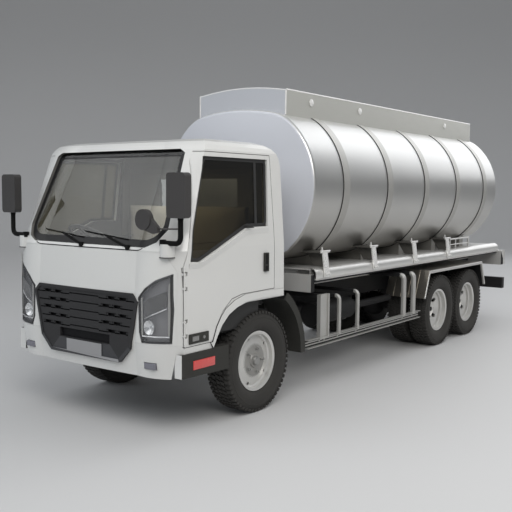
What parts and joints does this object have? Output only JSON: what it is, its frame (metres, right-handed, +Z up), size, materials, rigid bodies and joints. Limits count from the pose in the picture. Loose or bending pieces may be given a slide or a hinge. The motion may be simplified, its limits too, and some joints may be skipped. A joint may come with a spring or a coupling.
{
  "type": "three-axle tanker truck",
  "caption": "Rigid tanker truck with tilting cab, oval tank on a ladder frame, steered front wheels, twin rear wheels, opening doors and manhole lids.",
  "frame": {"origin": "on the ground under the middle of the bounding box", "axes": "+Z up, -Y towards the front of the truck, +X to its left"},
  "size_m": [2.116, 7.218, 2.8519],
  "materials": {
    "tyre_rubber": "matte",
    "rim_paint": "satin",
    "cab_paint": "gloss",
    "tank_skin": "satin",
    "tank_fittings": "matte",
    "chassis_paint": "satin",
    "trim_plastic": "matte",
    "window_glass": "clear",
    "seat_cloth": "matte",
    "lamp_lens": "clear",
    "red_lens": "gloss"
  },
  "bodies": {
    "chassis": {"deck": "tank_fittings", "deck_sills": "tank_fittings", "drive_axles": "chassis_paint", "engine_and_gearbox": "chassis_paint", "frame": "chassis_paint", "front_axle": "chassis_paint", "front_mudguards": "trim_plastic", "fuel_tank": "chassis_paint", "manhole_neck_1": "tank_skin", "manhole_neck_2": "tank_skin", "outlet_pipe": "tank_fittings", "rear_box": "tank_fittings", "rear_fenders": "tank_fittings", "rear_springs": "chassis_paint", "side_guards": "tank_fittings", "silencer": "chassis_paint", "tail_lamps": "red_lens", "tank_shell": "tank_skin", "tank_straps": "tank_fittings", "tank_tray": "tank_fittings", "underrun_bar": "chassis_paint"},
    "cab": {"bumper": "cab_paint", "cab_floor": "cab_paint", "cab_glass": "window_glass", "cab_shell": "cab_paint", "dashboard": "trim_plastic", "front_panel": "cab_paint", "grille": "trim_plastic", "headlamps": "lamp_lens", "mirrors": "trim_plastic", "seats": "seat_cloth", "side_skirts": "trim_plastic", "steering_wheel": "trim_plastic"},
    "door_left_body": {"door_glass_left": "window_glass", "door_left": "cab_paint"},
    "door_right_body": {"door_glass_right": "window_glass", "door_right": "cab_paint"},
    "knuckle_left_body": {"knuckle_left": "chassis_paint"},
    "knuckle_right_body": {"knuckle_right": "chassis_paint"},
    "tie_rod_body": {"tie_rod": "chassis_paint"},
    "lid_1": {"manhole_lid_1": "tank_skin"},
    "lid_2": {"manhole_lid_2": "tank_skin"},
    "wheel_front_left": {"rim_front_left": "rim_paint", "tyre_front_left": "tyre_rubber"},
    "wheel_front_right": {"rim_front_right": "rim_paint", "tyre_front_right": "tyre_rubber"},
    "wheel_rear1_left": {"rims_rear1_left": "rim_paint", "tyres_rear1_left": "tyre_rubber"},
    "wheel_rear1_right": {"rims_rear1_right": "rim_paint", "tyres_rear1_right": "tyre_rubber"},
    "wheel_rear2_left": {"rims_rear2_left": "rim_paint", "tyres_rear2_left": "tyre_rubber"},
    "wheel_rear2_right": {"rims_rear2_right": "rim_paint", "tyres_rear2_right": "tyre_rubber"}
  },
  "joints": [
    {"name": "cab_tilt", "type": "hinge", "parent": "chassis", "child": "cab", "pos_m": [0, -3.344, 0.64], "axis": [1, 0, 0], "range_deg": [0, 45]},
    {"name": "door_left_hinge", "type": "hinge", "parent": "cab", "child": "door_left_body", "pos_m": [0.938, -3.409, 1], "axis": [0, 0, -1], "range_deg": [0, 65]},
    {"name": "door_right_hinge", "type": "hinge", "parent": "cab", "child": "door_right_body", "pos_m": [-0.938, -3.409, 1], "axis": [0, 0, 1], "range_deg": [0, 65]},
    {"name": "steer_left", "type": "hinge", "parent": "chassis", "child": "knuckle_left_body", "pos_m": [0.66, -2.444, 0.43], "axis": [0, 0, 1], "range_deg": [-33, 33]},
    {"name": "steer_right", "type": "hinge", "parent": "chassis", "child": "knuckle_right_body", "pos_m": [-0.66, -2.444, 0.43], "axis": [0, 0, 1], "range_deg": [-33, 33]},
    {"name": "tie_rod_swing", "type": "hinge", "parent": "knuckle_left_body", "child": "tie_rod_body", "pos_m": [0.66, -2.274, 0.38], "axis": [0, 0, 1], "range_deg": [-33, 33]},
    {"name": "spin_front_left", "type": "hinge", "parent": "knuckle_left_body", "child": "wheel_front_left", "pos_m": [0.797, -2.444, 0.43], "axis": [1, 0, 0], "continuous": true},
    {"name": "spin_rear1_left", "type": "hinge", "parent": "chassis", "child": "wheel_rear1_left", "pos_m": [0.658, 1.239, 0.43], "axis": [1, 0, 0], "continuous": true},
    {"name": "spin_rear2_left", "type": "hinge", "parent": "chassis", "child": "wheel_rear2_left", "pos_m": [0.658, 2.142, 0.43], "axis": [1, 0, 0], "continuous": true},
    {"name": "spin_front_right", "type": "hinge", "parent": "knuckle_right_body", "child": "wheel_front_right", "pos_m": [-0.797, -2.444, 0.43], "axis": [1, 0, 0], "continuous": true},
    {"name": "spin_rear1_right", "type": "hinge", "parent": "chassis", "child": "wheel_rear1_right", "pos_m": [-0.658, 1.239, 0.43], "axis": [1, 0, 0], "continuous": true},
    {"name": "spin_rear2_right", "type": "hinge", "parent": "chassis", "child": "wheel_rear2_right", "pos_m": [-0.658, 2.142, 0.43], "axis": [1, 0, 0], "continuous": true},
    {"name": "lid_1_hinge", "type": "hinge", "parent": "chassis", "child": "lid_1", "pos_m": [0, -0.389, 2.747], "axis": [-1, 0, 0], "range_deg": [0, 110]},
    {"name": "lid_2_hinge", "type": "hinge", "parent": "chassis", "child": "lid_2", "pos_m": [0, 2.341, 2.747], "axis": [-1, 0, 0], "range_deg": [0, 110]}
  ],
  "couplings": [
    {"joint": "steer_right", "follows": "steer_left", "ratio": 1},
    {"joint": "tie_rod_swing", "follows": "steer_left", "ratio": -1}
  ]
}
